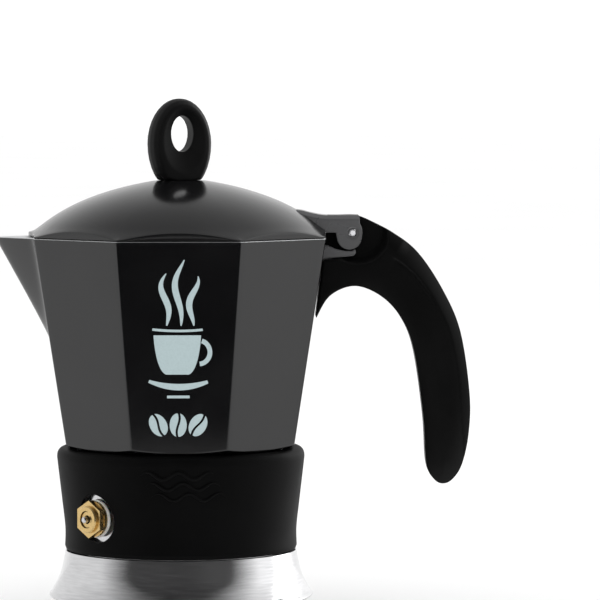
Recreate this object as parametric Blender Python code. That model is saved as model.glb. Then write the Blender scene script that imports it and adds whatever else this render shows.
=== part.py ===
"""Six-cup stovetop moka pot with a hinged lid, a screw-on collector and a relief valve.

The origin is on the pot's axis where it meets the table. +Z is up, the handle points to +X and
the spout to -X. Dimensions below are in millimetres, and the mesh helpers turn them into metres.
"""

import math

import bmesh
import bpy
from mathutils import Matrix, Vector

MM = 0.001
GAP = 0.35  # clearance left between neighbouring pieces

# Collector: an octagonal funnel-shaped casting
RIM_Z = 142.5
CORNER_Z = 66.0
RIM_APOTHEM = 53.8
CORNER_APOTHEM = 42.3
TAPER = (RIM_APOTHEM - CORNER_APOTHEM) / (RIM_Z - CORNER_Z)
WALL = 3.2
SKIRT_Z = 62.8
SKIRT_R = 37.0
SKIRT_OUTER_R = 40.0
CEILING_Z = 80.3
FLOOR_Z = 83.3
COLUMN_TOP_Z = 131.0
COLUMN_BORE_R = 4.0

# Lid: a dome whose height falls with the radius, cut by the same octagon
DOME_HEIGHT = 22.16
DOME_SLOPE = 0.091
DOME_CURVE = 0.004928
DOME_FULLNESS = 1.22
DOME_REACH = 53.0
DOME_SKIN = 2.3
SEAT_R = 9.1
SEAT_Z = 163.45

# Hinge
PIN_X = 64.1
PIN_Z = RIM_Z + 1.5
PIN_R = 1.3
PIN_HOLE_R = 1.6
EAR_X = 62.8
EAR_Z = RIM_Z
EAR_R = 4.65
ARM_HALF = 7.5
SLOT_HALF = 3.8
TONGUE_HALF = 3.4
TONGUE_R = 3.5

# Handle
HANDLE_HALF = 8.5
NECK_HALF = 3.2
SCREW_X = 60.0

# Knob
KNOB_BASE_Z = 163.8
KNOB_TURN = math.radians(22)
KNOB_HALF_W = 12.2
KNOB_WIDEST = 13.6
KNOB_RISE = 16.6
KNOB_DROP = 18.2
SCREW_HOLE_R = 2.1

# Boiler
NECK_R = 35.6
NECK_TOP_Z = 74.0
GROOVE_Z = 25.5
THREAD_PITCH = 3.0
THREAD_HEIGHT = 1.0
THREAD_START_Z = 65.2
THREAD_STEPS = 36

# Relief valve, on its own axis
VALVE_AZIMUTH = math.radians(225)
VALVE_Z = 40.0
VALVE_HOLE_R = 5.0
VALVE_WINDOW_R = 9.0


# ---------- materials ----------


def material(name, colour, roughness, metallic):
    made = bpy.data.materials.new(name)
    made.use_nodes = True
    shader = made.node_tree.nodes["Principled BSDF"]
    shader.inputs["Base Color"].default_value = (*colour, 1.0)
    shader.inputs["Roughness"].default_value = roughness
    shader.inputs["Metallic"].default_value = metallic
    made.diffuse_color = (*colour, 1.0)
    return made


# ---------- mesh helpers ----------


def add_object(name, mesh_data, look=None, parent=None, location=(0, 0, 0)):
    """Turns a bmesh in millimetres into a smooth-shaded object in metres."""
    bmesh.ops.scale(mesh_data, vec=(MM, MM, MM), verts=mesh_data.verts)
    bmesh.ops.recalc_face_normals(mesh_data, faces=mesh_data.faces)
    mesh = bpy.data.meshes.new(name)
    mesh_data.to_mesh(mesh)
    mesh_data.free()
    mesh.shade_smooth()
    mesh.set_sharp_from_angle(angle=math.radians(35))
    piece = bpy.data.objects.new(name, mesh)
    bpy.context.scene.collection.objects.link(piece)
    piece.location = Vector(location) * MM
    piece.parent = parent
    if look:
        mesh.materials.append(look)
    return piece


def add_empty(name, location, parent=None):
    empty = bpy.data.objects.new(name, None)
    empty.location = Vector(location) * MM
    empty.parent = parent
    bpy.context.scene.collection.objects.link(empty)
    return empty


def combine(piece, operation, name, mesh_data):
    """Joins a helper solid to a piece, or cuts the piece with it, by a Boolean modifier."""
    helper = add_object(name, mesh_data, parent=piece.parent)
    helper.location = piece.location
    helper.rotation_euler = piece.rotation_euler
    helper.hide_render = True
    helper.display_type = "WIRE"
    boolean = piece.modifiers.new(name, "BOOLEAN")
    boolean.operation = operation
    boolean.object = helper


def turned(profile, segments=40):
    """A solid of revolution about Z. The (radius, z) profile is a closed loop, or ends on the axis."""
    mesh_data = bmesh.new()
    rings = []
    for radius, z in profile:
        if radius == 0:
            rings.append([mesh_data.verts.new((0, 0, z))])
            continue
        ring = []
        for step in range(segments):
            angle = 2 * math.pi * step / segments
            ring.append(mesh_data.verts.new((radius * math.cos(angle), radius * math.sin(angle), z)))
        rings.append(ring)
    on_axis = len(rings[0]) == 1
    pairs = list(zip(rings, rings[1:] if on_axis else rings[1:] + rings[:1]))
    for first, second in pairs:
        for step in range(segments):
            after = (step + 1) % segments
            corners = [first[step % len(first)], first[after % len(first)]]
            corners += [second[after % len(second)], second[step % len(second)]]
            mesh_data.faces.new(list(dict.fromkeys(corners)))
    return mesh_data


def prism(outline, low, high):
    """An (x, z) outline extruded along Y."""
    mesh_data = bmesh.new()
    near = [mesh_data.verts.new((x, low, z)) for x, z in outline]
    far = [mesh_data.verts.new((x, high, z)) for x, z in outline]
    mesh_data.faces.new(near)
    mesh_data.faces.new(list(reversed(far)))
    for index in range(len(outline)):
        after = (index + 1) % len(outline)
        mesh_data.faces.new((near[index], near[after], far[after], far[index]))
    return mesh_data


def octagonal(sections):
    """A solid through octagons given as (apothem, z), with one facet facing each of X and Y."""
    mesh_data = bmesh.new()
    rings = []
    for apothem, z in sections:
        corner = apothem / math.cos(math.pi / 8)
        ring = []
        for step in range(8):
            angle = math.pi / 8 + step * math.pi / 4
            ring.append(mesh_data.verts.new((corner * math.cos(angle), corner * math.sin(angle), z)))
        rings.append(ring)
    mesh_data.faces.new(rings[0])
    mesh_data.faces.new(rings[-1])
    for lower, upper in zip(rings, rings[1:]):
        for step in range(8):
            after = (step + 1) % 8
            mesh_data.faces.new((lower[step], lower[after], upper[after], upper[step]))
    return mesh_data


def hull(points):
    mesh_data = bmesh.new()
    corners = [mesh_data.verts.new(point) for point in points]
    made = bmesh.ops.convex_hull(mesh_data, input=corners)
    bmesh.ops.delete(mesh_data, geom=made["geom_interior"], context="VERTS")
    return mesh_data


def rod(radius, low, high, segments=16):
    return turned([(0, low), (radius, low), (radius, high), (0, high)], segments)


def cross_rod(radius, low, high, x, z, segments=20):
    """A rod along Y."""
    mesh_data = rod(radius, low, high, segments)
    turn = Matrix.Rotation(math.radians(-90), 4, "X")
    bmesh.ops.transform(mesh_data, matrix=Matrix.Translation((x, 0, z)) @ turn, verts=mesh_data.verts)
    return mesh_data


def moved(mesh_data, offset):
    bmesh.ops.translate(mesh_data, vec=offset, verts=mesh_data.verts)
    return mesh_data


def swept_helix(section_at, turns, start_z, pitch, per_turn, first_angle=0.0):
    """A bar whose (radius, z) section winds up a helix. section_at takes the share of the way along."""
    mesh_data = bmesh.new()
    rings = []
    steps = round(turns * per_turn)
    for step in range(steps + 1):
        angle = first_angle + 2 * math.pi * step / per_turn
        rise = start_z + pitch * step / per_turn
        ring = []
        for radius, z in section_at(step / steps):
            ring.append(mesh_data.verts.new((radius * math.cos(angle), radius * math.sin(angle), rise + z)))
        rings.append(ring)
    mesh_data.faces.new(rings[0])
    mesh_data.faces.new(rings[-1])
    for first, second in zip(rings, rings[1:]):
        for index in range(len(first)):
            after = (index + 1) % len(first)
            mesh_data.faces.new((first[index], first[after], second[after], second[index]))
    return mesh_data


def arc(centre, radius, first, last, steps):
    """Points along a circle, by angles in degrees."""
    points = []
    for step in range(steps + 1):
        angle = math.radians(first + (last - first) * step / steps)
        points.append((centre[0] + radius * math.cos(angle), centre[1] + radius * math.sin(angle)))
    return points


def smooth_through(points, steps):
    """A Catmull-Rom curve through the points."""
    curve = []
    padded = [points[0], *points, points[-1]]
    for before, start, end, after in zip(padded, padded[1:], padded[2:], padded[3:]):
        for step in range(steps):
            t = step / steps
            curve.append(
                tuple(
                    0.5
                    * (
                        2 * b
                        + (c - a) * t
                        + (2 * a - 5 * b + 4 * c - d) * t * t
                        + (3 * b - a - 3 * c + d) * t**3
                    )
                    for a, b, c, d in zip(before, start, end, after)
                )
            )
    curve.append(points[-1])
    return curve


def from_rim(points):
    """Outline points whose height is given from the rim."""
    return [(x, RIM_Z + z) for x, z in points]


def apothem_at(z):
    return RIM_APOTHEM + TAPER * (z - RIM_Z)


def dome_z(radius):
    share = min((radius / DOME_REACH) ** 2.3, 1.0)
    fuller = 4 * DOME_FULLNESS * share * (1 - share)
    return RIM_Z + DOME_HEIGHT - DOME_SLOPE * radius - DOME_CURVE * radius**2 + fuller


def thread_section(inner, outer, root_width, crest_width):
    """A tapered ridge section that sinks back into its wall at both ends of the thread."""

    def section(share):
        fade = min(1.0, share / 0.06, (1.0 - share) / 0.06)
        crest = inner + (outer - inner) * (0.15 + 0.85 * fade)
        return [(inner, -root_width), (crest, -crest_width), (crest, crest_width), (inner, root_width)]

    return section


# ---------- boiler ----------


def shell_profile():
    outer = smooth_through([(43.2, GROOVE_Z), (45.0, 17.0), (48.0, 10.6), (49.4, 9.0)], 2)
    outer_waist = smooth_through([(41.1, GROOVE_Z), (41.2, 32.0), (42.0, 44.0), (43.3, 56.0), (43.2, 59.6)], 1)
    inner_waist = smooth_through([(41.0, 56.5), (40.3, 44.0), (39.5, 31.0), (40.6, 20.0), (43.8, 12.0)], 1)
    profile = [(0, 8.1), (48.8, 8.1), (49.4, 8.5)]
    profile += list(reversed(outer))
    profile += outer_waist
    profile += [(42.0, 60.4), (NECK_R, 60.4), (NECK_R, NECK_TOP_Z), (33.0, NECK_TOP_Z), (33.0, 60.6)]
    profile += [(40.0, 58.4)]
    profile += inner_waist
    profile += [(43.0, 9.9), (0, 9.9)]
    return profile


def valve_solid(mesh_data):
    """A solid modelled along the valve's own Z, laid along the valve's axis."""
    bmesh.ops.transform(mesh_data, matrix=valve_frame(), verts=mesh_data.verts)
    return mesh_data


def valve_frame():
    lean = Matrix.Rotation(math.radians(90), 4, "Y")
    return Matrix.Translation((0, 0, VALVE_Z)) @ Matrix.Rotation(VALVE_AZIMUTH, 4, "Z") @ lean


def make_boiler(looks):
    shell = add_object("boiler_shell", turned(shell_profile()), looks["steel"])
    section = thread_section(NECK_R - 0.5, NECK_R + THREAD_HEIGHT, 0.95, 0.4)
    thread = swept_helix(section, 2.25, THREAD_START_Z, THREAD_PITCH, THREAD_STEPS)
    combine(shell, "UNION", "neck_thread", thread)
    combine(shell, "DIFFERENCE", "valve_hole", valve_solid(rod(VALVE_HOLE_R, 30, 60, 24)))

    disc = [(0, 2.2), (43.4, 2.2), (44.0, 2.8), (44.0, 7.2), (43.4, 7.7), (0, 7.7)]
    add_object("heat_spreader", turned(disc), looks["aluminium"])
    cup = [(0, 0), (44.6, 0), (46.2, 0.6), (46.9, 2.0), (46.9, 7.4), (46.4, 7.7), (44.4, 7.7)]
    cup += [(44.4, 2.4), (43.8, 1.8), (0, 1.8)]
    add_object("base_cap", turned(cup), looks["steel"])

    outside = smooth_through([(43.4, 27.2), (43.3, 34.0), (44.4, 44.0), (45.8, 56.0), (46.3, 60.4)], 2)
    sleeve = outside + [(46.1, 61.8), (45.2, 63.1), (43.7, 64.0), (41.4, 64.0), (41.2, 63.7), (41.2, 61.0)]
    sleeve += [(42.2, 60.8), (43.7, 59.8), (43.7, 56.0), (42.4, 44.0), (41.6, 32.0), (41.5, 25.9), (42.8, 25.9)]
    grip = add_object("grip_sleeve", turned(sleeve), looks["soft_touch"])
    combine(grip, "DIFFERENCE", "valve_window", valve_solid(rod(VALVE_WINDOW_R, 30, 60, 24)))
    return shell


def make_brew_parts(looks):
    funnel = [(35.2, 75.1), (35.2, 74.35), (31.8, 74.35), (31.8, 50.0), (30.0, 48.6), (6.4, 40.1)]
    funnel += [(5.2, 38.2), (5.2, 13.0), (4.2, 13.0), (4.2, 39.0), (5.4, 41.0), (29.0, 49.6)]
    funnel += [(29.4, 51.0), (30.9, 51.0), (30.9, 75.1)]
    add_object("funnel", turned(funnel, 40), looks["aluminium"])
    add_object("basket_sieve", turned([(0, 51.3), (30.5, 51.3), (30.5, 52.0), (0, 52.0)], 40), looks["aluminium"])
    combine(bpy.data.objects["basket_sieve"], "DIFFERENCE", "sieve_holes", perforation(3, 8.0, 50.0, 53.0))


def perforation(rings, spacing, low, high):
    """Hexagonal pins on a triangular grid, as one cutter."""
    mesh_data = bmesh.new()
    for q in range(-rings, rings + 1):
        for r in range(max(-rings, -q - rings), min(rings, -q + rings) + 1):
            x = spacing * (q + r / 2)
            y = spacing * r * math.sqrt(3) / 2
            if math.hypot(x, y) > 26:
                continue
            pin = bmesh.ops.create_cone(
                mesh_data, cap_ends=True, segments=6, radius1=0.7, radius2=0.7, depth=high - low
            )
            bmesh.ops.translate(mesh_data, vec=(x, y, (low + high) / 2), verts=pin["verts"])
    return mesh_data


def make_filter_pack(looks):
    """The seal and the plate that travel with the collector, but look the same at any turn."""
    carrier = add_empty("collector_rise", (0, 0, 0))
    ring = [(36.6, 75.4), (36.6, 79.3), (29.6, 79.3), (29.6, 75.4)]
    add_object("gasket", turned(ring), looks["silicone"], carrier)
    plate = [(0, 78.3), (28.6, 78.3), (29.0, 79.6), (34.0, 79.6), (34.0, 80.0), (28.3, 80.0), (27.9, 79.0), (0, 79.0)]
    add_object("filter_plate", turned(plate, 40), looks["aluminium"], carrier)
    combine(bpy.data.objects["filter_plate"], "DIFFERENCE", "plate_holes", perforation(3, 7.6, 77.0, 81.0))
    return carrier


def hexagon_nut(across_flats, bore, low, high):
    """A hexagonal ring with its bore, along Z."""
    mesh_data = bmesh.new()
    rings = []
    corner = across_flats / 2 / math.cos(math.pi / 6)
    for z in (low, high):
        outer = []
        inner = []
        for step in range(12):
            angle = math.pi * step / 6
            reach = corner if step % 2 == 0 else across_flats / 2
            outer.append(mesh_data.verts.new((reach * math.cos(angle), reach * math.sin(angle), z)))
            inner.append(mesh_data.verts.new((bore * math.cos(angle), bore * math.sin(angle), z)))
        rings.append((outer, inner))
    (low_out, low_in), (high_out, high_in) = rings
    for step in range(12):
        after = (step + 1) % 12
        mesh_data.faces.new((low_out[step], low_out[after], high_out[after], high_out[step]))
        mesh_data.faces.new((low_in[step], low_in[after], high_in[after], high_in[step]))
        mesh_data.faces.new((low_out[step], low_out[after], low_in[after], low_in[step]))
        mesh_data.faces.new((high_out[step], high_out[after], high_in[after], high_in[step]))
    return mesh_data


def make_valve(looks):
    """The relief valve: its parts are turned about the empty's Z, which points out of the boiler."""
    axis = add_empty("valve_axis", (0, 0, VALVE_Z))
    axis.rotation_euler = valve_frame().to_euler()
    shank = [(4.6, 36.6), (4.6, 44.0), (6.6, 44.0), (6.6, 45.1), (5.0, 45.4), (5.0, 48.2), (4.6, 48.6)]
    shank += [(3.2, 48.6), (3.2, 39.0), (0.9, 37.9), (0.9, 36.6)]
    body = add_object("valve_body", turned(shank, 24), looks["brass"], axis)
    combine(body, "UNION", "valve_flats", hexagon_nut(12.0, 4.0, 44.7, 47.3))
    seal = [(5.0, 42.8), (7.0, 42.8), (7.0, 43.65), (5.0, 43.65)]
    add_object("valve_seal", turned(seal, 24), looks["silicone"], axis)
    add_object("valve_nut", hexagon_nut(12.0, 5.0, 36.9, 38.9), looks["brass"], axis)
    plug = [(1.6, 46.2), (2.9, 46.2), (2.9, 48.0), (1.6, 48.0)]
    add_object("valve_cap", turned(plug, 24), looks["brass"], axis)
    stem = [(0, 39.4), (1.6, 39.4), (2.8, 40.3), (2.8, 41.0), (1.2, 41.0), (1.2, 49.6), (0.8, 50.0), (0, 50.0)]
    add_object("valve_piston", turned(stem, 16), looks["steel"], axis)
    spring = swept_helix(lambda share: arc((2.1, 0), 0.32, 0, 270, 3), 3.5, 42.7, 0.85, 12)
    add_object("valve_spring", spring, looks["steel"], axis)


# ---------- collector ----------


def collector_envelope():
    """What the octagon is cut to: a chamber for the seal, a skirt, and a cone under the facets."""
    cone_low = 63.65
    cone_high = 72.6
    reach = 62.0
    profile = [(0, CEILING_Z), (SKIRT_R, CEILING_Z), (SKIRT_R, SKIRT_Z), (SKIRT_OUTER_R, SKIRT_Z)]
    profile += [(SKIRT_OUTER_R, cone_low), (reach, cone_high), (reach, RIM_Z), (0, RIM_Z)]
    return turned(profile)


def spout(inset, lift):
    """The pouring beak, or with an inset the channel inside it."""
    half = 17.0 - inset
    tip = 71.0 - 2.2 * inset
    top = RIM_Z + lift
    wall = 50.0 - inset * 1.6
    return hull(
        [
            (-wall, -half, top),
            (-wall, half, top),
            (-tip, -1.4, top),
            (-tip, 1.4, top),
            (-wall + 3.5, -2.0, 101.0 + 2.5 * inset),
            (-wall + 3.5, 2.0, 101.0 + 2.5 * inset),
        ]
    )


def bracket_outline():
    """The trough under the lid's ears, from the wall outwards and back."""
    floor = [(52.2, -3.0), (54.6, -3.1), (57.9, -4.5), (61.2, -5.2), (63.8, -5.2), (65.1, -4.6)]
    underside = [(65.3, -5.9), (64.4, -7.0), (58.0, -7.6), (52.2, -8.2)]
    return from_rim(floor + underside)


def tongue_outline():
    """The web that stands in the lid's slot and carries the pin."""
    top = from_rim([(52.2, -0.6), (54.15, -0.6), (54.15, 1.3), (55.3, 1.3), (56.0, 2.8), (60.2, 4.0)])
    lobe = arc((PIN_X, PIN_Z), TONGUE_R, 110, -25, 8)
    foot = from_rim([(66.2, -2.6), (65.0, -4.8), (64.2, -6.6), (52.2, -7.6)])
    return top + lobe + foot


def make_column(looks, turn):
    """The hollow column that the coffee rises through, pressed into the floor of the cup."""
    outside = [(9.0, CEILING_Z + 0.2), (9.0, FLOOR_Z + 0.3), (12.0, FLOOR_Z + 0.3), (11.8, FLOOR_Z + 1.3)]
    outside += [(10.0, FLOOR_Z + 4.0), (6.8, COLUMN_TOP_Z - 5.0), (5.4, COLUMN_TOP_Z - 1.4)]
    outside += [(3.0, COLUMN_TOP_Z), (0, COLUMN_TOP_Z)]
    inside = [(0, COLUMN_TOP_Z - 3.0), (COLUMN_BORE_R, COLUMN_TOP_Z - 6.0)]
    inside += [(COLUMN_BORE_R, CEILING_Z + 5.0), (7.6, CEILING_Z + 0.2)]
    column = add_object("coffee_column", turned(inside + outside, 32), looks["aluminium"], turn)
    windows = from_rim([(-3.0, -17.5), (3.0, -17.5), (3.0, -22.5), (-3.0, -22.5)])
    combine(column, "DIFFERENCE", "column_windows", prism(windows, -9.0, 9.0))


def make_collector(looks, carrier):
    turn = add_empty("collector_turn", (0, 0, 0), carrier)
    frustum = octagonal([(apothem_at(60.0), 60.0), (RIM_APOTHEM + TAPER, RIM_Z + 1.0)])
    body = add_object("collector", frustum, looks["black_gloss"], turn)
    combine(body, "INTERSECT", "collector_envelope", collector_envelope())
    combine(body, "UNION", "spout_outside", spout(0, 0))
    inside = [(apothem_at(FLOOR_Z) - WALL - 3.0, FLOOR_Z), (apothem_at(FLOOR_Z + 4) - WALL, FLOOR_Z + 4.0)]
    inside += [(RIM_APOTHEM - WALL + TAPER, RIM_Z + 1.0)]
    combine(body, "DIFFERENCE", "collector_inside", octagonal(inside))
    combine(body, "DIFFERENCE", "spout_channel", spout(2.6, 1.0))
    combine(body, "UNION", "hinge_bracket", prism(bracket_outline(), -ARM_HALF, ARM_HALF))
    combine(body, "UNION", "hinge_tongue", prism(tongue_outline(), -TONGUE_HALF, TONGUE_HALF))
    peg = from_rim([(56.5, -6.8), (63.5, -6.8), (63.5, -14.0), (56.5, -14.0)])
    combine(body, "UNION", "handle_peg", prism(peg, -3.5, 3.5))
    hole = [(0, CEILING_Z - 1.0), (9.3, CEILING_Z - 1.0), (9.3, FLOOR_Z + 1.0), (0, FLOOR_Z + 1.0)]
    combine(body, "DIFFERENCE", "column_seat", turned(hole, 32))
    make_column(looks, turn)
    section = thread_section(SKIRT_R + 0.5, SKIRT_R - THREAD_HEIGHT, 0.95, 0.4)
    first_turn = 1 / 3
    first_z = THREAD_START_Z + THREAD_PITCH * (first_turn - 0.5)
    thread = swept_helix(section, 1.75, first_z, THREAD_PITCH, THREAD_STEPS, math.tau * first_turn)
    combine(body, "UNION", "skirt_thread", thread)
    combine(body, "DIFFERENCE", "pin_hole", cross_rod(PIN_HOLE_R, -5.0, 5.0, PIN_X, PIN_Z))
    blind = moved(rod(1.6, RIM_Z - 16.0, RIM_Z - 9.0), (SCREW_X, 0, 0))
    combine(body, "DIFFERENCE", "handle_screw_hole", blind)
    pin = add_object("hinge_pin", cross_rod(PIN_R, -ARM_HALF, ARM_HALF, PIN_X, PIN_Z), looks["steel"], turn)
    make_handle(looks, turn)
    return turn, pin


# ---------- handle ----------


def handle_outline():
    neck = from_rim([(52.9, -8.7), (58.0, -8.1), (64.7, -7.4), (65.8, -6.0), (65.7, -4.4), (66.7, -2.6)])
    around_pin = arc((PIN_X, PIN_Z), TONGUE_R + 0.5, -25, 75, 8)
    back = [(66.2, 7.8), (70.7, 6.0), (79.7, 1.2), (88.6, -5.9), (97.6, -19.4), (104.3, -35.0)]
    back += [(107.8, -58.0), (107.6, -72.7), (105.2, -84.7), (101.6, -90.6), (97.9, -92.3), (94.6, -90.6)]
    arch = [(91.7, -84.7), (90.5, -66.8), (87.1, -42.9), (82.6, -30.9), (75.2, -22.4), (65.1, -18.2)]
    arch += [(55.6, -21.9), (50.2, -30.9)]
    return neck + around_pin + from_rim(smooth_through(back + arch, 3))


def make_handle(looks, turn):
    handle = add_object("handle", prism(handle_outline(), -HANDLE_HALF, HANDLE_HALF), looks["phenolic"], turn)
    rounding = handle.modifiers.new("rounding", "BEVEL")
    rounding.width = 2.6 * MM
    rounding.segments = 2
    rounding.limit_method = "ANGLE"
    rounding.angle_limit = math.radians(50)
    for side in (-1, 1):
        scoop = cross_rod(12.3, NECK_HALF, 12.0, 66.55, RIM_Z + 2.5, 40)
        if side < 0:
            scoop = moved(scoop, (0, -NECK_HALF - 12.0, 0))
        combine(handle, "DIFFERENCE", "scoop_left" if side < 0 else "scoop_right", scoop)
    socket = from_rim([(56.1, -4.0), (63.9, -4.0), (63.9, -14.4), (56.1, -14.4)])
    combine(handle, "DIFFERENCE", "peg_socket", prism(socket, -3.9, 3.9))
    hole = [(0, -30.0), (3.7, -30.0), (3.7, -16.6), (1.9, -16.6), (1.9, -12.0), (0, -12.0)]
    hole = [(radius, RIM_Z + z) for radius, z in hole]
    combine(handle, "DIFFERENCE", "screw_way", moved(turned(hole, 20), (SCREW_X, 0, 0)))
    screw = [(0, -18.8), (2.8, -18.8), (3.3, -18.2), (3.3, -16.95), (1.25, -16.95), (1.25, -9.6), (0, -9.6)]
    screw = [(radius, RIM_Z + z) for radius, z in screw]
    fastener = add_object("handle_screw", turned(screw, 20), looks["steel"], turn, (SCREW_X, 0, 0))
    drive = hull([(x, y, RIM_Z + z) for x in (-4, 4) for y in (-0.4, 0.4) for z in (-20.0, -18.0)])
    combine(fastener, "DIFFERENCE", "handle_screw_slot", drive)


# ---------- lid and knob ----------


def dome_profile():
    outer = [(SEAT_R, SEAT_Z)]
    for step in range(1, 8):
        radius = SEAT_R + (60.0 - SEAT_R) * step / 7
        outer.append((radius, max(dome_z(radius), RIM_Z + GAP + 0.12)))
    inner = [(50.0, RIM_Z + GAP)]
    for radius in (49.0, 42.0, 34.0, 25.0, 14.0):
        inner.append((radius, dome_z(radius) - DOME_SKIN))
    return [(SCREW_HOLE_R, SEAT_Z), *outer, (60.0, RIM_Z + GAP), *inner, (SCREW_HOLE_R, dome_z(8) - DOME_SKIN)]


def arm_outline():
    """The lid's hinge arm, from the dome's skin out to the ear and back."""
    top = from_rim([(42.0, 10.0), (45.0, 9.7), (48.5, 8.7), (53.0, 7.9), (58.0, 7.8), (63.0, 7.9), (66.6, 7.8)])
    ear = from_rim([(66.7, 5.1), (67.5, 3.6), (67.7, 1.6)])
    lobe = arc((EAR_X, EAR_Z), EAR_R, -8, -170, 10)
    below = from_rim([(57.8, 1.7), (52.6, 1.7), (50.5, 3.5), (46.0, 6.1), (42.0, 8.2)])
    return top + ear + lobe + below


def make_lid(looks, turn):
    hinge = add_empty("lid_hinge", (PIN_X, 0, PIN_Z), turn)
    back = (-PIN_X, 0, -PIN_Z)
    lid = add_object("lid", turned(dome_profile()), looks["black_gloss"], hinge, back)
    edge = octagonal([(RIM_APOTHEM, RIM_Z - 5.0), (RIM_APOTHEM, RIM_Z + 30.0)])
    combine(lid, "INTERSECT", "lid_edge", edge)
    beak = [(-51.5, side * 11.0, RIM_Z + z) for side in (-1, 1) for z in (GAP, 3.4)]
    beak += [(-57.8, side * 5.0, RIM_Z + z) for side in (-1, 1) for z in (GAP, 2.4)]
    combine(lid, "UNION", "lid_beak", hull(beak))
    combine(lid, "UNION", "hinge_arm", prism(arm_outline(), -ARM_HALF, ARM_HALF))
    slot = from_rim([(54.9, -12.0), (80.0, -12.0), (80.0, 20.0), (54.9, 20.0)])
    combine(lid, "DIFFERENCE", "arm_slot", prism(slot, -SLOT_HALF, SLOT_HALF))
    combine(lid, "DIFFERENCE", "ear_hole", cross_rod(PIN_HOLE_R, -12.0, 12.0, PIN_X, PIN_Z))
    make_knob(looks, hinge, back)


def egg(angle, half_width, rise, drop, middle):
    """A point on an egg-shaped outline that is cut off flat at height 0."""
    across = half_width * math.sin(angle)
    height = middle + (rise if math.cos(angle) > 0 else drop) * math.cos(angle)
    if height < 0:
        across *= abs(math.sin(angle)) ** 0.5
    return across, max(height, 0.0)


def knob_loops():
    """(half width, rise, drop, middle, depth) of each loop, from the back face round to the front."""
    outside = (KNOB_HALF_W, KNOB_RISE, KNOB_DROP, KNOB_WIDEST)
    shoulder = (KNOB_HALF_W - 0.7, KNOB_RISE - 0.7, KNOB_DROP - 0.6, KNOB_WIDEST)
    lip = (KNOB_HALF_W - 2.2, KNOB_RISE - 2.2, KNOB_DROP - 1.6, KNOB_WIDEST)
    dish = (8.2, 12.4, 11.6, 14.3)
    slope = (6.0, 8.9, 8.8, 16.2)
    hole = (4.4, 6.65, 6.65, 17.2)
    half = [(*outside, 1.2), (*shoulder, 3.4), (*lip, 5.1), (*dish, 5.3), (*slope, 4.2), (*hole, 3.4)]
    return half + [(*loop[:4], -loop[4]) for loop in reversed(half)]


def knob_solid():
    segments = 36
    mesh_data = bmesh.new()
    rings = []
    for half_width, rise, drop, middle, depth in knob_loops():
        ring = []
        for step in range(segments):
            across, height = egg(math.tau * step / segments, half_width, rise, drop, middle)
            ring.append(mesh_data.verts.new((across, -depth, height)))
        rings.append(ring)
    for first, second in zip(rings, rings[1:] + rings[:1]):
        for step in range(segments):
            after = (step + 1) % segments
            mesh_data.faces.new((first[step], first[after], second[after], second[step]))
    return mesh_data


def make_knob(looks, hinge, back):
    seat = (back[0], back[1], back[2] + KNOB_BASE_Z)
    knob = add_object("knob", knob_solid(), looks["phenolic"], hinge, seat)
    knob.rotation_euler = (0, 0, KNOB_TURN)
    combine(knob, "DIFFERENCE", "knob_screw_hole", rod(2.0, -2.0, 8.0))
    screw = [(0, -5.6), (3.6, -5.6), (4.2, -5.0), (4.2, -3.5), (1.6, -3.5), (1.6, 7.2), (0, 7.2)]
    fastener = add_object("knob_screw", turned(screw, 20), looks["steel"], hinge, seat)
    drive = hull([(x, y, z) for x in (-5, 5) for y in (-0.5, 0.5) for z in (-7.0, -4.7)])
    combine(fastener, "DIFFERENCE", "knob_screw_slot", drive)


# ---------- assembly ----------


def main():
    for old in list(bpy.data.objects):
        bpy.data.objects.remove(old, do_unlink=True)
    looks = {
        "black_gloss": material("black_gloss", (0.012, 0.012, 0.013), 0.22, 0.0),
        "phenolic": material("phenolic", (0.008, 0.008, 0.008), 0.55, 0.0),
        "soft_touch": material("soft_touch", (0.010, 0.010, 0.011), 0.6, 0.0),
        "steel": material("steel", (0.62, 0.62, 0.63), 0.22, 1.0),
        "aluminium": material("aluminium", (0.75, 0.76, 0.77), 0.35, 1.0),
        "brass": material("brass", (0.72, 0.52, 0.24), 0.3, 1.0),
        "silicone": material("silicone", (0.80, 0.79, 0.76), 0.6, 0.0),
    }
    make_boiler(looks)
    make_brew_parts(looks)
    make_valve(looks)
    carrier = make_filter_pack(looks)
    turn, _ = make_collector(looks, carrier)
    make_lid(looks, turn)


main()
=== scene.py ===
import math

import bmesh
import bpy
import numpy as np
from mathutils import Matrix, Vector


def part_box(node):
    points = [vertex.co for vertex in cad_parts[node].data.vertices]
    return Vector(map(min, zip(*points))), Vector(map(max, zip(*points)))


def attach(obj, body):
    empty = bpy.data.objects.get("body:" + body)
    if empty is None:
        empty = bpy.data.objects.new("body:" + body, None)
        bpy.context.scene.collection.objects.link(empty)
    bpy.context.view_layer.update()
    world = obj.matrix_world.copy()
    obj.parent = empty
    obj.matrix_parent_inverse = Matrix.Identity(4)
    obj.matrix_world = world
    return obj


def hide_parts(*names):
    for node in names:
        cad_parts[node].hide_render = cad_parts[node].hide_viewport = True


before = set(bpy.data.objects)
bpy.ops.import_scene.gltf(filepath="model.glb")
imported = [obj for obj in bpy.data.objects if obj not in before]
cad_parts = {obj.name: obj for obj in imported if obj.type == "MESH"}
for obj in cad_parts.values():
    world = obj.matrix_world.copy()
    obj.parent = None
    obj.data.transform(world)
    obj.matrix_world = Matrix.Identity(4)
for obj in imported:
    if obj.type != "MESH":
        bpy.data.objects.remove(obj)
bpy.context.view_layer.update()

MM = 0.001

# ---------- places read from the frame, in millimetres ----------

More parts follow.
